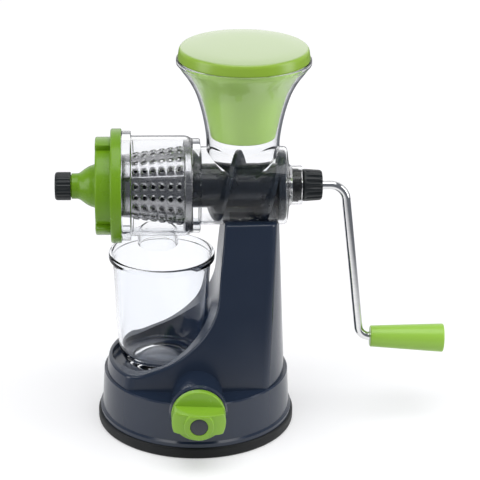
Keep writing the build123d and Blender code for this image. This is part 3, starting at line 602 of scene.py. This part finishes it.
# ------------------------------------------------------------------ studio
def rays(link):
    """Two values of 0 or 1: a ray straight from the eye or through clear plastic only, and one
    that comes off a shiny face."""
    path = link.node("ShaderNodeLightPath").socket.node
    eye, glass, diffuse, glossy = [Link(link.tree, path.outputs[n]) for n in (
        "Is Camera Ray", "Is Transmission Ray", "Diffuse Depth", "Glossy Depth")]
    fresh = link.maths("LESS_THAN", diffuse + glossy, 0.5)
    seen = link.maths("MAXIMUM", eye, glass * fresh)
    return seen, link.maths("LESS_THAN", diffuse, 0.5) * link.maths("GREATER_THAN", glossy, 0.5)


def studio_floor():
    """A wide sheet of pale paper, white to the eye and greyer far off in reflections."""
    bm = bmesh.new()
    bmesh.ops.create_grid(bm, x_segments=1, y_segments=1, size=6.0)
    mesh = bpy.data.meshes.new("floor")
    bm.to_mesh(mesh)
    bm.free()
    floor = bpy.data.objects.new("floor", mesh)
    scene.collection.objects.link(floor)
    f = Finish("floor_paper")
    tree = f.link.tree
    tree.nodes.remove(f.shader)
    seen, mirror = rays(f.link)
    away = f.place.node("ShaderNodeVectorMath", {"operation": "LENGTH"}, {0: f.place}, "Value")
    lit = f.link.node("ShaderNodeBsdfDiffuse", {}, {"Color": (0.70, 0.70, 0.71, 1)})
    glow = f.link.node("ShaderNodeEmission", {}, {
        "Color": (1, 1, 1, 1), "Strength": (seen + mirror) * away.span(0.3, 1.5, 0.28, 0.55)})
    near = f.link.node("ShaderNodeAddShader", {}, {0: lit, 1: glow})
    dusk = f.link.node("ShaderNodeEmission", {}, {
        "Color": (0.16, 0.17, 0.19, 1), "Strength": 1.0})
    reach = mirror * away.span(0.20, 0.60)
    both = f.link.node("ShaderNodeMixShader", {}, {0: reach, 1: near, 2: dusk})
    tree.links.new(both.socket, f.surface)
    mesh.materials.append(f.material)


def studio_world():
    """White behind the object for the eye, and a grey room with a pale far wall in reflections."""
    world = bpy.data.worlds.new("studio")
    scene.world = world
    world.use_nodes = True
    tree = world.node_tree
    tree.nodes.clear()
    link = Link(tree, None)
    out = tree.nodes.new("ShaderNodeOutputWorld")
    way = link.node("ShaderNodeTexCoord", out=0)
    parts = link.node("ShaderNodeSeparateXYZ", {}, {0: way}).socket.node
    far = Link(tree, parts.outputs[1]).span(0.2, 0.95)
    room = far.between((0.17, 0.18, 0.20, 1), (1.2, 1.2, 1.2, 1))
    seen, mirror = rays(link)
    colour = mirror.between((0.55, 0.55, 0.56, 1), room)
    colour = seen.between(colour, (1.0, 1.0, 1.0, 1))
    shade = link.node("ShaderNodeBackground", {}, {"Color": colour, "Strength": 1.0})
    tree.links.new(shade.socket, out.inputs["Surface"])


def softbox(name, place, aim, size, power):
    """A rectangular lamp at a place, turned to face another one."""
    lamp = bpy.data.lights.new(name, "AREA")
    lamp.shape, lamp.size, lamp.size_y, lamp.energy = "RECTANGLE", *size, power
    lamp.spread = math.pi
    obj = bpy.data.objects.new(name, lamp)
    scene.collection.objects.link(obj)
    obj.location = place
    obj.rotation_mode = "QUATERNION"
    obj.rotation_quaternion = (Vector(aim) - Vector(place)).to_track_quat("-Z", "Y")


def camera():
    """The place and lens of the photograph, worked out from its outlines."""
    cam = bpy.data.cameras.new("camera")
    cam.sensor_width, cam.lens = SENSOR, FOCAL_PIXELS / PHOTO_PIXELS * SENSOR
    cam.clip_start, cam.clip_end = 0.05, 20
    obj = bpy.data.objects.new("camera", cam)
    scene.collection.objects.link(obj)
    right = Vector((0.99898434, -0.0435856, 0.01142735))
    up = Vector((0.005846, 0.37683937, 0.92626018))
    ahead = Vector((0.04467788, 0.92525261, -0.37671143))
    obj.matrix_world = Matrix.Translation((-0.036171, -1.455583, 0.743759)) @ Matrix(
        (right, up, -ahead)).transposed().to_4x4()
    scene.camera = obj


studio_floor()
studio_world()
softbox("top_box", (0.05, -0.25, 1.35), (0.03, 0, 0.1), (1.3, 1.0), 11)
softbox("left_box", (-1.25, -0.35, 0.55), (0, 0, 0.15), (0.55, 1.1), 6)
softbox("right_box", (1.25, -0.25, 0.5), (0.03, 0, 0.15), (0.5, 1.1), 7)
camera()
scene.view_settings.view_transform = "Standard"
